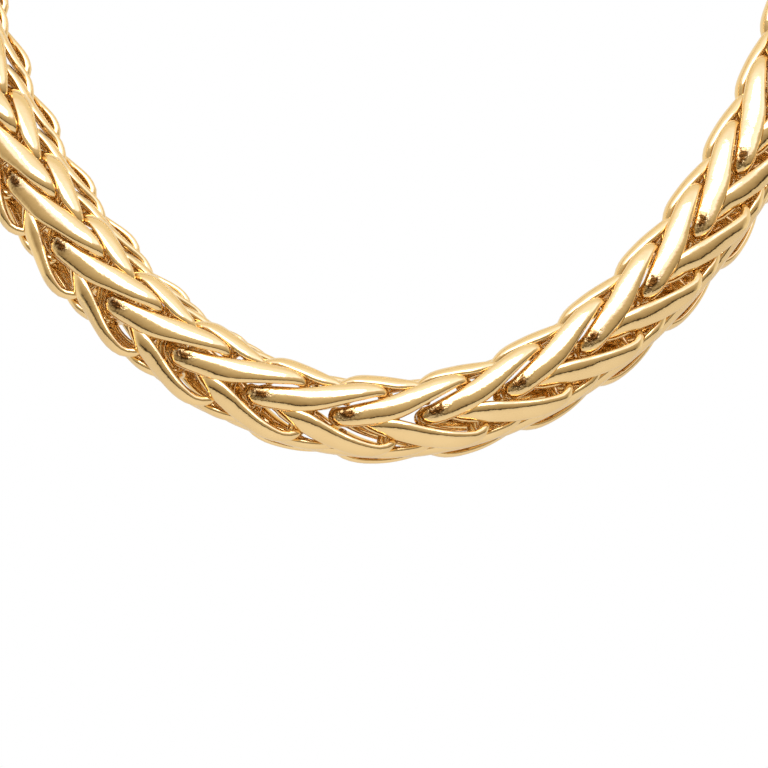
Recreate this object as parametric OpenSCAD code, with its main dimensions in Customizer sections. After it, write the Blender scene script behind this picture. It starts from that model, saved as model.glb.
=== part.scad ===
// Wheat chain necklace: figure-eight links folded in a U, threaded through each other in four rows

/* [Necklace] */
// Half of the loop's width at the front
half_width = 49.5; // [49:0.5:60]
// How much wider the loop gets halfway up, and twice this at the nape
upper_widening = 5; // [0:0.5:8]
// Half of the loop's height, seen from the front
half_height = 70; // [68:0.5:74]
// How far the loop leans back for each millimetre of height
lean = 0.5; // [0.3:0.05:0.6]
// How much more it leans back towards the nape, per millimetre of height
extra_lean = 0.002; // [0:0.0005:0.0025]

/* [Chain] */
// Distance from one link to the next that faces the same way
pitch = 10; // [9.9:0.1:10.4]
// Place of the middle facing link's fold, from the front centre
front_link = -4.9; // [-10:0.1:0]
// Turn of the chain about its own length, at the wearer's right shoulder
roll_right = -30; // [-40:1:0]
// Turn of the chain about its own length, at the wearer's left shoulder
roll_left = 5; // [0:1:10]
// Length along the chain from the front centre to the middle of that turn
roll_place = -28; // [-40:1:-10]
// Length over which that turn takes place
roll_spread = 11; // [8:1:20]

/* [Clasp] */
// Outside diameter of the clasp
clasp_d = 14; // [13.8:0.2:15]
// Wall of the clasp's two end cups
cup_wall = 0.7; // [0.6:0.05:0.75]
// Depth of each end cup
cup_depth = 10; // [9:0.5:10.5]
// Thickness of each end cup's floor
cup_floor = 1; // [0.8:0.1:1.2]
// Diameter of the bar that joins the two cups
bar_d = 8; // [6:0.5:10]
// Diameter of the pins that hold the last links
pin_d = 1; // [0.8:0.1:1]

/* [Hidden] */
gold = [0.83, 0.62, 0.28];
// Places along the loop, in degrees, at which its length is added up
STEP_DEG = 1.5;
WIRE_SIDES = 5;
// Key points of half a link, from the outer root round one leaf-shaped loop to the inner root.
// The chain runs along the third column and the loop faces along the first
OUT = 0;
ACROSS = 1;
ALONG = 2;
WIDE = 3;
THICK = 4;
HALF_LINK = [
    // out, across, along, wide, thick
    [4.10, -0.20, -0.05, 2.20, 1.45],
    [4.30, 1.40, 5.80, 2.55, 1.30],
    [3.80, 2.75, 10.60, 2.40, 1.40],
    [2.05, 1.85, 14.60, 1.35, 1.20],
    [2.05, -1.90, 14.60, 1.35, 1.20],
    [3.80, -2.75, 10.70, 2.40, 1.40],
    [4.10, -1.10, 5.50, 2.05, 1.40],
    [2.10, 0.05, 1.40, 1.25, 1.20],
];
// The wire's broad side faces away from this stretch of the chain's axis
SPINE_START = 4;
SPINE_END = 12;
// Least distance from the nape to the inside of an end cup, and from there to the links
NAPE_GAP = 1.8;
END_GAP = 0.7;
// Places of the pins along the links that they hold, at the folded end and at the closed end
FOLD_PIN = 3.2;
CLOSED_PIN = 11;

function unit(v) = v / norm(v);

// The loop, with 0 degrees at the front centre and 180 at the nape
function loop_point(a) =
    let (z = half_height * (1 - cos(a)))
    [sin(a) * (half_width + upper_widening * (1 - cos(a))), z * (lean + extra_lean * z), z];
function loop_slope(a) =
    let (z = half_height * (1 - cos(a)), dz = half_height * sin(a))
    [cos(a) * (half_width + upper_widening * (1 - cos(a))) + upper_widening * sin(a) * sin(a),
     dz * (lean + 2 * extra_lean * z), dz];
function chord(a) = norm(loop_point(a + STEP_DEG) - loop_point(a));
PLACES = [
    for (a = 0, s = 0; a <= 180; s = s + chord(a), a = a + STEP_DEG) [s, a]
];
half_length = PLACES[len(PLACES) - 1][0];
function angle_at(s) = sign(s) * lookup(abs(s), PLACES);

// Frame of the chain at a length from the front centre: front, inward, along
function turn_at(s) =
    roll_left + (roll_right - roll_left) / (1 + exp((s - roll_place) / roll_spread));
function frame_at(s) =
    let (
        along = unit(loop_slope(angle_at(s))),
        front = unit([0, -1, 0] + along[1] * along),
        inward = cross(front, along),
        r = turn_at(s)
    )
    [front * cos(r) + inward * sin(r), inward * cos(r) - front * sin(r), along];

// The origin is at the nape, on the underside of the bar between the cups
nape = loop_point(180) - [0, 0, bar_d / 2];
function chain_point(p, s) =
    let (f = frame_at(s + p[2]))
    loop_point(angle_at(s + p[2])) - nape + f[0] * p[0] + f[1] * p[1];

// Whole link: the half above and its copy, half a turn about the chain's axis
LINK = concat(
    HALF_LINK,
    [for (i = [len(HALF_LINK) - 1 : -1 : 0])
        let (k = HALF_LINK[i]) [-k[OUT], -k[ACROSS], k[ALONG], k[WIDE], k[THICK]]]
);
RINGS = len(LINK);
function spot(i) = let (k = LINK[i % RINGS]) [k[OUT], k[ACROSS], k[ALONG]];
function wire_ring(i) =
    let (
        c = spot(i),
        run = unit(unit(c - spot(i + RINGS - 1)) + unit(spot(i + 1) - c)),
        away = c - [0, 0, min(max(c[2], SPINE_START), SPINE_END)],
        up = unit(away - (away * run) * run),
        side = cross(run, up)
    )
    [for (j = [0 : WIRE_SIDES - 1])
        let (a = 360 * j / WIRE_SIDES)
        c + up * cos(a) * LINK[i][THICK] / 2 + side * sin(a) * LINK[i][WIDE] / 2];
LINK_POINTS = [for (i = [0 : RINGS - 1]) each wire_ring(i)];
function corner(i, j) = (i % RINGS) * WIRE_SIDES + j % WIRE_SIDES;
LINK_FACES = [
    for (i = [0 : RINGS - 1], j = [0 : WIRE_SIDES - 1])
        each [[corner(i, j), corner(i + 1, j + 1), corner(i + 1, j)],
              [corner(i, j), corner(i, j + 1), corner(i + 1, j + 1)]]
];

// The links run both ways from the front until they reach the clasp
step = pitch / 2;
link_start = HALF_LINK[0][ALONG] - HALF_LINK[0][THICK] / 2;
link_end = HALF_LINK[3][ALONG] + HALF_LINK[3][WIDE] / 2;
reach = half_length - NAPE_GAP - END_GAP;
FIRST = -floor((reach + front_link + link_start) / step);
LAST = floor((reach - front_link - link_end) / step);
function link_place(i) = front_link + i * step;
function is_edge(i) = abs(i) % 2;

module link(i) {
    quarter = 90 * is_edge(i);
    polyhedron(
        points = [
            for (p = LINK_POINTS)
                chain_point([p[0] * cos(quarter) - p[1] * sin(quarter),
                             p[0] * sin(quarter) + p[1] * cos(quarter), p[2]], link_place(i))
        ],
        faces = LINK_FACES
    );
}

module facing_links() {
    color(gold) for (i = [FIRST : LAST]) if (is_edge(i) == 0) link(i);
}

module edge_links() {
    color(gold) for (i = [FIRST : LAST]) if (is_edge(i) == 1) link(i);
}

// Puts a child that stands along Z at a length along the chain, along one of its three directions
module along_chain(s, direction) {
    d = frame_at(s)[direction];
    translate(loop_point(angle_at(s)) - nape)
        rotate([0, acos(d[2]), atan2(d[1], d[0])])
            children();
}

module cross_pin(s, direction) {
    along_chain(s, direction)
        cylinder(d = pin_d, h = clasp_d - cup_wall, center = true, $fn = 24);
}

// Where the inside of each end cup begins, as lengths from the nape towards the wearer's right and left
right_inside = half_length + link_place(FIRST) + link_start - END_GAP;
left_inside = half_length - link_place(LAST) - link_end - END_GAP;

// Each end cup lies straight along its own short stretch of the chain, and back is how far
// this round runs past the inside of the cup towards the nape
module end_rounds(d, front, back) {
    half = cup_depth / 2;
    along_chain(-half_length + right_inside + half, 2)
        translate([0, 0, -half - back]) cylinder(d = d, h = cup_depth + front + back, $fn = 64);
    along_chain(half_length - left_inside - half, 2)
        translate([0, 0, -half - front]) cylinder(d = d, h = cup_depth + front + back, $fn = 64);
}

module clasp() {
    // How far the bar runs into each cup's floor
    lap = cup_floor / 2;
    bar_right = right_inside - lap;
    bar_left = left_inside - lap;
    color(gold) {
        difference() {
            end_rounds(clasp_d, 0, cup_floor);
            end_rounds(clasp_d - 2 * cup_wall, 1, 0);
        }
        translate([bar_left, 0, bar_d / 2]) rotate([0, -90, 0])
            cylinder(d = bar_d, h = bar_left + bar_right, $fn = 64);
        for (i = [0, 1]) {
            cross_pin(link_place(FIRST + i) + FOLD_PIN, 1 - is_edge(FIRST + i));
            cross_pin(link_place(LAST - i) + CLOSED_PIN, is_edge(LAST - i));
        }
    }
}

facing_links();
edge_links();
clasp();
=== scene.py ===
"""Polished gold wheat chain necklace: the visual model around the fixed frame."""
import math
import bpy
import numpy as np
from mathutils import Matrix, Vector


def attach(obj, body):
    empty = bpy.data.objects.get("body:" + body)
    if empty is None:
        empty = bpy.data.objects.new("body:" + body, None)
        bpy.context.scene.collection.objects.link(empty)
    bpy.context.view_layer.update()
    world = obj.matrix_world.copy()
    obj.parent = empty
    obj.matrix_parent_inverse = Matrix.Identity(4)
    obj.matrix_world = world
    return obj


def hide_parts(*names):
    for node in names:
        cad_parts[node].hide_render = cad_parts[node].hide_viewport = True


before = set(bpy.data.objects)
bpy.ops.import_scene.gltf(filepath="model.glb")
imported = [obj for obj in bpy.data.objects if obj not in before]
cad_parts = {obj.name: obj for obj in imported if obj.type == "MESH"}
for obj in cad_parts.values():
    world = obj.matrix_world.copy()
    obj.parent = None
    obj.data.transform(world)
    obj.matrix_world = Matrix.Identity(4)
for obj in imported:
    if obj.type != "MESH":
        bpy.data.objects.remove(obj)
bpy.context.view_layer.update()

MM = 0.001

# The loop, in millimetres and degrees, with the same driving sizes as the solids
HALF_WIDTH = 49.5
UPPER_WIDENING = 5.0
HALF_HEIGHT = 70.0
LEAN = 0.5
EXTRA_LEAN = 0.002
PITCH = 10.0
FRONT_LINK = -4.9
ROLL_RIGHT = -30.0
ROLL_LEFT = 5.0
ROLL_PLACE = -28.0
ROLL_SPREAD = 11.0
BAR_D = 8.0
NAPE_GAP = 1.8
END_GAP = 0.7
# Where a link of the solids begins and ends along the chain, counted from its own place.
# These give the number of links, which is the solids' own
LINK_START = -0.775
LINK_END = 15.275
# The wire's broad side faces away from this stretch of the chain's axis
SPINE = (4.0, 12.0)
# Places along the loop, in degrees, at which its length is added up
STEP_DEG = 1.5

# How far from the chain's axis the links reach, as a share of what the tables below say
SLIM = 0.93
# Stations round a link, points round its wire, and points drawn between two rows of a table
# before the stations are spaced evenly
STATIONS = 120
WIRE_SIDES = 18
ROW_POINTS = 40

# The small crimp in the wire at each outer root: its middle and radii (out, across, along),
# and how far it draws the surface towards the wire's middle
CRIMP = (5.05, 0.35, 0.85)
CRIMP_RADII = (0.75, 0.58, 0.90)
CRIMP_DEPTH = 0.45

# Half a link, from the outer root round one leaf-shaped loop to the inner root, in millimetres:
# the links that face the front are fuller than the ones on the chain's edges
FACING_HALF = [
    # out, across, along, wide, thick
    (1.50, -0.10, 0.00, 1.45, 1.30),
    (3.20, 0.00, -0.85, 2.00, 1.40),
    (4.35, -0.10, 0.30, 2.60, 1.55),
    (4.50, 0.45, 2.65, 3.00, 1.50),
    (4.60, 1.30, 6.05, 3.20, 1.35),
    (4.55, 2.50, 9.20, 3.00, 1.35),
    (4.50, 3.35, 12.50, 2.50, 1.35),
    (4.10, 3.40, 14.40, 1.60, 1.10),
    (3.05, 2.70, 15.25, 1.30, 1.20),
    (2.15, 1.10, 15.45, 1.35, 1.20),
    (2.10, -0.75, 15.10, 1.30, 1.25),
    (2.80, -2.00, 15.90, 1.20, 1.15),
    (3.65, -3.05, 15.70, 1.10, 1.15),
    (4.30, -3.95, 14.60, 1.55, 1.15),
    (4.60, -3.95, 12.90, 2.25, 1.30),
    (4.55, -2.85, 9.55, 2.65, 1.35),
    (4.55, -1.35, 5.85, 2.60, 1.30),
    (3.45, -0.90, 3.70, 1.90, 1.25),
    (2.15, 0.05, 1.85, 1.25, 1.20),
    (0.95, -0.05, 1.55, 1.30, 1.15),
]
EDGE_HALF = [
    # out, across, along, wide, thick
    (1.45, -0.10, -0.10, 1.50, 1.25),
    (3.05, -0.10, -0.20, 1.80, 1.35),
    (3.85, -0.10, 0.45, 2.20, 1.40),
    (4.20, 0.55, 2.80, 2.10, 1.35),
    (4.20, 1.10, 5.95, 2.10, 1.25),
    (4.25, 1.85, 9.05, 1.90, 1.25),
    (4.20, 2.90, 12.00, 1.60, 1.15),
    (3.75, 2.65, 13.80, 1.40, 1.20),
    (2.90, 2.40, 15.10, 1.25, 1.20),
    (2.10, 0.90, 15.25, 1.25, 1.15),
    (2.15, -0.90, 15.00, 1.25, 1.15),
    (3.00, -2.40, 14.85, 1.20, 1.20),
    (3.75, -2.80, 14.00, 1.45, 1.20),
    (4.20, -2.80, 12.00, 2.20, 1.25),
    (4.70, -2.30, 9.05, 2.45, 1.25),
    (4.65, -1.45, 6.05, 2.60, 1.25),
    (3.25, -0.65, 3.60, 1.60, 1.20),
    (2.10, 0.10, 1.95, 1.25, 1.20),
    (0.95, -0.05, 1.30, 1.25, 1.15),
]

# Gold and paint, as red, green, blue, alpha
DEEP_GOLD = (0.92, 0.65, 0.30, 1)
PALE_GOLD = (0.95, 0.69, 0.33, 1)
# Painted shade laid into the hollows of the crimps
CRIMP_PAINTED_SHADE = (0.10, 0.04, 0.008, 1)
FLOOR_PAINT = (0.70, 0.69, 0.65, 1)
# Scales of the three noises in the gold, from its slow unevenness to its grain
CLOUD_SCALE = 260.0
DENT_SCALE = 800.0
GRAIN_SCALE = 2600.0
# What each noise and the crimps add to the height of the bumps, and the depth in metres of a
# bump of height 1
BUMP_CLOUD, BUMP_DENTS, BUMP_GRAIN, BUMP_CRIMP = 0.2, 0.07, 0.006, 0.9
BUMP_DISTANCE = 0.0004
# Roughness of the smoothest gold, and what the clouds and the crimps add to it
ROUGH_GOLD, ROUGH_CLOUD, ROUGH_CRIMP = 0.07, 0.08, 0.12
# How dark the painted shade in a crimp is without its grain, and what the grain adds
SHADE_CRIMP, SHADE_GRAIN = 0.6, 3.0

# Light from the front of the studio by height, where 0 is straight down and 1 straight up
STUDIO_FRONT = [
    # height, red, green, blue
    (0.0, 0.86, 0.83, 0.75),
    (0.40, 0.79, 0.76, 0.69),
    (0.412, 0.02, 0.012, 0.008),
    (0.452, 0.02, 0.012, 0.008),
    (0.475, 0.32, 0.26, 0.18),
    (0.77, 0.69, 0.63, 0.53),
    (0.83, 1.45, 1.50, 2.10),
    (1.0, 1.12, 1.17, 1.42),
]
STUDIO_BACK = (0.92, 0.89, 0.81, 1)
# From the first of these depths to the second the front's light turns into the back's,
# where 0 is the very front and 1 the very back
BACK_BEGINS, BACK_FULL = 0.42, 0.62
BLACK = (0, 0, 0, 1)
WHITE = (1, 1, 1, 1)
# Sockets of the Mix node when it mixes colours
MIX_A, MIX_B, MIX_RESULT = 6, 7, 2

# The round floor and the studio's lamp, in metres and watts
FLOOR_RADIUS = 1.4
FLOOR_SIDES = 96
FLOOR_HEIGHT = -0.45
FLOOR_ROUGHNESS = 0.6
SOFTBOX_PLACE = (-0.25, -0.75, 0.75)
SOFTBOX_SIZE = (0.9, 0.5)
SOFTBOX_POWER = 6.0
CHAIN_FRONT = (0, -0.109, -0.136)

# Metres that the photograph shows at the front of the chain, and metres in one of its pixels
PHOTO_WIDTH = 0.0899
PHOTO_PIXEL = 0.000117
# The lowest point of the chain's axis lies this many pixels below the photograph's middle
LOWEST_PIXELS = 35.8
# Metres from the camera to the chain's front, its sensor in millimetres, and what it can see
CAMERA_AWAY = 2.5
SENSOR_WIDTH = 36.0
CLIP_START, CLIP_END = 0.01, 20


def unit(v):
    return v / np.linalg.norm(v, axis=-1, keepdims=True)


def loop_point(a):
    """Point of the loop at angle a, in radians: 0 at the front centre and pi at the nape."""
    z = HALF_HEIGHT * (1 - np.cos(a))
    x = np.sin(a) * (HALF_WIDTH + UPPER_WIDENING * (1 - np.cos(a)))
    return np.stack([x, z * (LEAN + EXTRA_LEAN * z), z], -1)


def loop_slope(a):
    """Direction of the loop at angle a, not of unit length."""
    z, dz = HALF_HEIGHT * (1 - np.cos(a)), HALF_HEIGHT * np.sin(a)
    dx = (np.cos(a) * (HALF_WIDTH + UPPER_WIDENING * (1 - np.cos(a)))
          + UPPER_WIDENING * np.sin(a) ** 2)
    return np.stack([dx, dz * (LEAN + 2 * EXTRA_LEAN * z), dz], -1)


# Length of the loop from the front centre to each of its angles, up to the nape
ANGLES = np.radians(np.arange(0, 180.1, STEP_DEG))
CHORDS = np.linalg.norm(np.diff(loop_point(ANGLES), axis=0), axis=1)
PLACES = np.concatenate([[0], np.cumsum(CHORDS)])
HALF_LENGTH = PLACES[-1]
# The origin is at the nape, on the underside of the bar between the cups
NAPE = loop_point(np.array(math.pi)) - np.array([0, 0, BAR_D / 2])


def angle_at(s):
    return np.sign(s) * np.interp(np.abs(s), PLACES, ANGLES)


def frame_at(s):
    """Front, inward and along directions of the chain at a length from the front centre."""
    along = unit(loop_slope(angle_at(s)))
    front = unit(np.array([0.0, -1.0, 0.0]) + along[..., 1:2] * along)
    inward = np.cross(front, along)
    roll = ROLL_LEFT + (ROLL_RIGHT - ROLL_LEFT) / (1 + np.exp((s - ROLL_PLACE) / ROLL_SPREAD))
    c, n = np.cos(np.radians(roll))[..., None], np.sin(np.radians(roll))[..., None]
    return front * c + inward * n, inward * c - front * n, along


def bend(points, place):
    """Slims the points of a straight link (out, across, along) and bends them onto the loop,
    with the link at a length from the front centre."""
    s = points[:, 2] + place
    front, inward, along = frame_at(s)
    away = SLIM * (front * points[:, :1] + inward * points[:, 1:2])
    return loop_point(angle_at(s)) - NAPE + away


def smooth_loop(rows, count):
    """Closed centripetal Catmull-Rom curve through the rows, as evenly spaced stations."""
    rows = np.array(rows, float)
    n = len(rows)
    out = []
    for i in range(n):
        p = [rows[(i + k - 1) % n] for k in range(4)]
        t = [0.0]
        for k in range(3):
            t.append(t[-1] + np.linalg.norm(p[k + 1][:3] - p[k][:3]) ** 0.5)
        for u in np.linspace(t[1], t[2], ROW_POINTS, endpoint=False):
            a1 = ((t[1] - u) * p[0] + (u - t[0]) * p[1]) / (t[1] - t[0])
            a2 = ((t[2] - u) * p[1] + (u - t[1]) * p[2]) / (t[2] - t[1])
            a3 = ((t[3] - u) * p[2] + (u - t[2]) * p[3]) / (t[3] - t[2])
            b1 = ((t[2] - u) * a1 + (u - t[0]) * a2) / (t[2] - t[0])
            b2 = ((t[3] - u) * a2 + (u - t[1]) * a3) / (t[3] - t[1])
            out.append(((t[2] - u) * b1 + (u - t[1]) * b2) / (t[2] - t[1]))
    out = np.array(out)
    closed = np.vstack([out, out[:1]])
    chords = np.linalg.norm(np.diff(closed[:, :3], axis=0), axis=1)
    lengths = np.concatenate([[0], np.cumsum(chords)])
    even = np.linspace(0, lengths[-1], count, endpoint=False)
    return np.stack([np.interp(even, lengths, column) for column in closed.T], -1)


def crimp_mask(points):
    """How deep in one of a link's two crimps each point lies, from 0 to about 1."""
    middle, radii = np.array(CRIMP), np.array(CRIMP_RADII)
    turned = points * np.array([-1, -1, 1])
    return sum(np.exp(-np.sum(((p - middle) / radii) ** 2, -1)) for p in (points, turned))


def link_shape(rows):
    """Points, faces and crimp mask of one straight link, facing along the first axis."""
    half = [np.array(r) for r in rows]
    other = [r * np.array([-1, -1, 1, 1, 1]) for r in half[::-1]]
    line = smooth_loop(half + other, STATIONS)
    centre, wide, thick = line[:, :3], line[:, 3], line[:, 4]
    run = unit(np.roll(centre, -1, 0) - np.roll(centre, 1, 0))
    axis_point = np.zeros_like(centre)
    axis_point[:, 2] = np.clip(centre[:, 2], *SPINE)
    away = centre - axis_point
    up = unit(away - np.sum(away * run, 1)[:, None] * run)
    side = np.cross(run, up)
    turn = np.linspace(0, 2 * math.pi, WIRE_SIDES, endpoint=False)
    ring = (centre[:, None]
            + up[:, None] * (np.cos(turn)[None, :, None] * thick[:, None, None] / 2)
            + side[:, None] * (np.sin(turn)[None, :, None] * wide[:, None, None] / 2))
    crimp = crimp_mask(ring)
    ring += (centre[:, None] - ring) * (crimp * CRIMP_DEPTH)[:, :, None]
    faces = []
    for i in range(STATIONS):
        here, there = i * WIRE_SIDES, (i + 1) % STATIONS * WIRE_SIDES
        for j in range(WIRE_SIDES):
            j2 = (j + 1) % WIRE_SIDES
            faces.append((here + j, there + j, there + j2, here + j2))
    return ring.reshape(-1, 3), np.array(faces), crimp.reshape(-1)


def chain_strand(name, edge):
    """Joined mesh of every second link, bent onto the loop."""
    points, faces, crimp = link_shape(EDGE_HALF if edge else FACING_HALF)
    if edge:
        # An edge link is turned a quarter turn about the chain's axis
        points = np.stack([-points[:, 1], points[:, 0], points[:, 2]], -1)
    reach = HALF_LENGTH - NAPE_GAP - END_GAP
    step = PITCH / 2
    first = -math.floor((reach + FRONT_LINK + LINK_START) / step)
    last = math.floor((reach - FRONT_LINK - LINK_END) / step)
    all_points, all_faces = [], []
    for i in range(first, last + 1):
        if i % 2 == edge:
            all_faces.append(faces + len(all_points) * len(points))
            all_points.append(bend(points, FRONT_LINK + i * step))
    mesh = bpy.data.meshes.new(name)
    mesh.from_pydata((np.vstack(all_points) * MM).tolist(), [], np.vstack(all_faces).tolist())
    # The crimp mask also darkens the gold there with painted shade in the material
    mask = mesh.attributes.new("crimp", "FLOAT", "POINT")
    mask.data.foreach_set("value", np.tile(crimp, len(all_points)))
    mesh.shade_smooth()
    mesh.update()
    piece = bpy.data.objects.new(name, mesh)
    bpy.context.collection.objects.link(piece)
    return piece


class Socket:
    """A shader socket that does arithmetic: an expression adds its Math nodes."""

    def __init__(self, nodes, socket):
        self.nodes, self.socket = nodes, socket

    def math(self, kind, other):
        return self.nodes.add("ShaderNodeMath", {"operation": kind}, {0: self, 1: other})

    def __add__(self, other):
        return self.math("ADD", other)

    def __mul__(self, other):
        return self.math("MULTIPLY", other)

    __radd__ = __add__


class Nodes:
    """The nodes of a material or of the world."""

    def __init__(self, owner):
        owner.use_nodes = True
        self.owner = owner
        self.tree = owner.node_tree
        self.tree.nodes.clear()

    def add(self, kind, settings, inputs, output=0):
        """Adds a node with its settings and inputs, and gives one of its outputs."""
        node = self.tree.nodes.new(kind)
        for key, value in settings.items():
            if key == "stops":
                ramp = node.color_ramp
                for i, (place, colour) in enumerate(value):
                    stop = ramp.elements[i] if i < 2 else ramp.elements.new(place)
                    stop.position, stop.color = place, colour
            else:
                setattr(node, key, value)
        for key, value in inputs.items():
            if isinstance(value, Socket):
                self.tree.links.new(value.socket, node.inputs[key])
            else:
                node.inputs[key].default_value = value
        if node.outputs:
            return Socket(self, node.outputs[output])

    def noise(self, place, scale, detail):
        return self.add("ShaderNodeTexNoise", {}, {
            "Vector": place, "Scale": scale, "Detail": detail})

    def ramp(self, factor, stops):
        return self.add("ShaderNodeValToRGB", {"stops": stops}, {"Fac": factor})

    def mix(self, factor, a, b):
        return self.add("ShaderNodeMix", {"data_type": "RGBA"}, {
            "Factor": factor, MIX_A: a, MIX_B: b}, MIX_RESULT)


def polished_gold():
    """Slightly uneven polished gold, rougher in the crimps, where painted shade darkens it."""
    gold = Nodes(bpy.data.materials.new("polished_gold"))
    place = gold.add("ShaderNodeTexCoord", {}, {}, "Object")
    crimp = gold.add("ShaderNodeAttribute", {"attribute_name": "crimp"}, {}, "Fac")
    cloud = gold.noise(place, CLOUD_SCALE, detail=4.0)
    grain = gold.noise(place, GRAIN_SCALE, detail=2.0)
    dents = gold.noise(place, DENT_SCALE, detail=2.0)
    colour = gold.ramp(cloud, [(0.3, DEEP_GOLD), (0.7, PALE_GOLD)])
    # Painted shade darkens the gold in the crimps, speckled by the grain
    shade = gold.mix(crimp * (grain * SHADE_GRAIN + SHADE_CRIMP), colour, CRIMP_PAINTED_SHADE)
    height = (cloud * BUMP_CLOUD + dents * BUMP_DENTS + grain * BUMP_GRAIN
              + crimp * grain * BUMP_CRIMP)
    bump = gold.add("ShaderNodeBump", {}, {
        "Height": height, "Strength": 1.0, "Distance": BUMP_DISTANCE})
    surface = gold.add("ShaderNodeBsdfPrincipled", {}, {
        "Base Color": shade,
        "Metallic": 1.0,
        "Roughness": ROUGH_GOLD + cloud * ROUGH_CLOUD + crimp * ROUGH_CRIMP,
        "Normal": bump})
    gold.add("ShaderNodeOutputMaterial", {}, {"Surface": surface})
    return gold.owner


GOLD = polished_gold()
for name, edge in (("facing_links", 0), ("edge_links", 1)):
    strand = chain_strand("gold_" + name, edge)
    strand.data.materials.append(GOLD)
    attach(strand, "root")
    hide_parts(name)

# The clasp stays as the solids have it, with the same gold
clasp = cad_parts["clasp"]
for slot in clasp.material_slots:
    slot.material = GOLD


def studio():
    """Pale surroundings, with a dark band in front, just below eye level, that the gold reflects.
    The camera itself sees them as white."""
    room = Nodes(bpy.data.worlds.new("studio"))
    bpy.context.scene.world = room.owner
    place = room.add("ShaderNodeTexCoord", {}, {}, "Generated")
    height = room.add("ShaderNodeSeparateXYZ", {}, {"Vector": place}, "Z")
    depth = room.add("ShaderNodeSeparateXYZ", {}, {"Vector": place}, "Y")
    front = room.ramp(height * 0.5 + 0.5, [
        (stop, (red, green, blue, 1)) for stop, red, green, blue in STUDIO_FRONT])
    behind = room.ramp(depth * 0.5 + 0.5, [(BACK_BEGINS, BLACK), (BACK_FULL, WHITE)])
    around = room.mix(behind, front, STUDIO_BACK)
    seen = room.add("ShaderNodeLightPath", {}, {}, "Is Camera Ray")
    shown = room.mix(seen, around, WHITE)
    light = room.add("ShaderNodeBackground", {}, {"Color": shown, "Strength": 1.0})
    room.add("ShaderNodeOutputWorld", {}, {"Surface": light})


def softbox(name, place, size, power, aim):
    lamp = bpy.data.lights.new(name, "AREA")
    lamp.shape = "RECTANGLE"
    lamp.size, lamp.size_y = size
    lamp.energy = power
    piece = bpy.data.objects.new(name, lamp)
    piece.location = place
    piece.rotation_euler = (Vector(aim) - Vector(place)).to_track_quat("-Z", "Y").to_euler()
    piece.visible_camera = False
    bpy.context.collection.objects.link(piece)


def pale_floor():
    paint = Nodes(bpy.data.materials.new("floor_paint"))
    surface = paint.add("ShaderNodeBsdfPrincipled", {}, {
        "Base Color": FLOOR_PAINT, "Roughness": FLOOR_ROUGHNESS})
    paint.add("ShaderNodeOutputMaterial", {}, {"Surface": surface})
    mesh = bpy.data.meshes.new("floor")
    turn = np.linspace(0, 2 * math.pi, FLOOR_SIDES, endpoint=False)
    rim = [(FLOOR_RADIUS * math.cos(t), FLOOR_RADIUS * math.sin(t), FLOOR_HEIGHT) for t in turn]
    mesh.from_pydata(rim, [], [list(range(FLOOR_SIDES))])
    floor = bpy.data.objects.new("floor", mesh)
    mesh.materials.append(paint.owner)
    bpy.context.collection.objects.link(floor)


def photo_camera():
    """Level camera in front of the chain, with the photograph's frame."""
    lowest = (loop_point(np.array(0.0)) - NAPE) * MM
    camera = bpy.data.cameras.new("camera")
    camera.sensor_width = SENSOR_WIDTH
    camera.lens = SENSOR_WIDTH * CAMERA_AWAY / PHOTO_WIDTH
    camera.clip_start, camera.clip_end = CLIP_START, CLIP_END
    eye = bpy.data.objects.new("camera", camera)
    eye.location = (0.0, lowest[1] - CAMERA_AWAY, lowest[2] + LOWEST_PIXELS * PHOTO_PIXEL)
    eye.rotation_euler = (math.pi / 2, 0, 0)
    bpy.context.collection.objects.link(eye)
    bpy.context.scene.camera = eye


studio()
pale_floor()
softbox("top_softbox", SOFTBOX_PLACE, SOFTBOX_SIZE, SOFTBOX_POWER, CHAIN_FRONT)
photo_camera()
bpy.context.scene.view_settings.view_transform = "Standard"
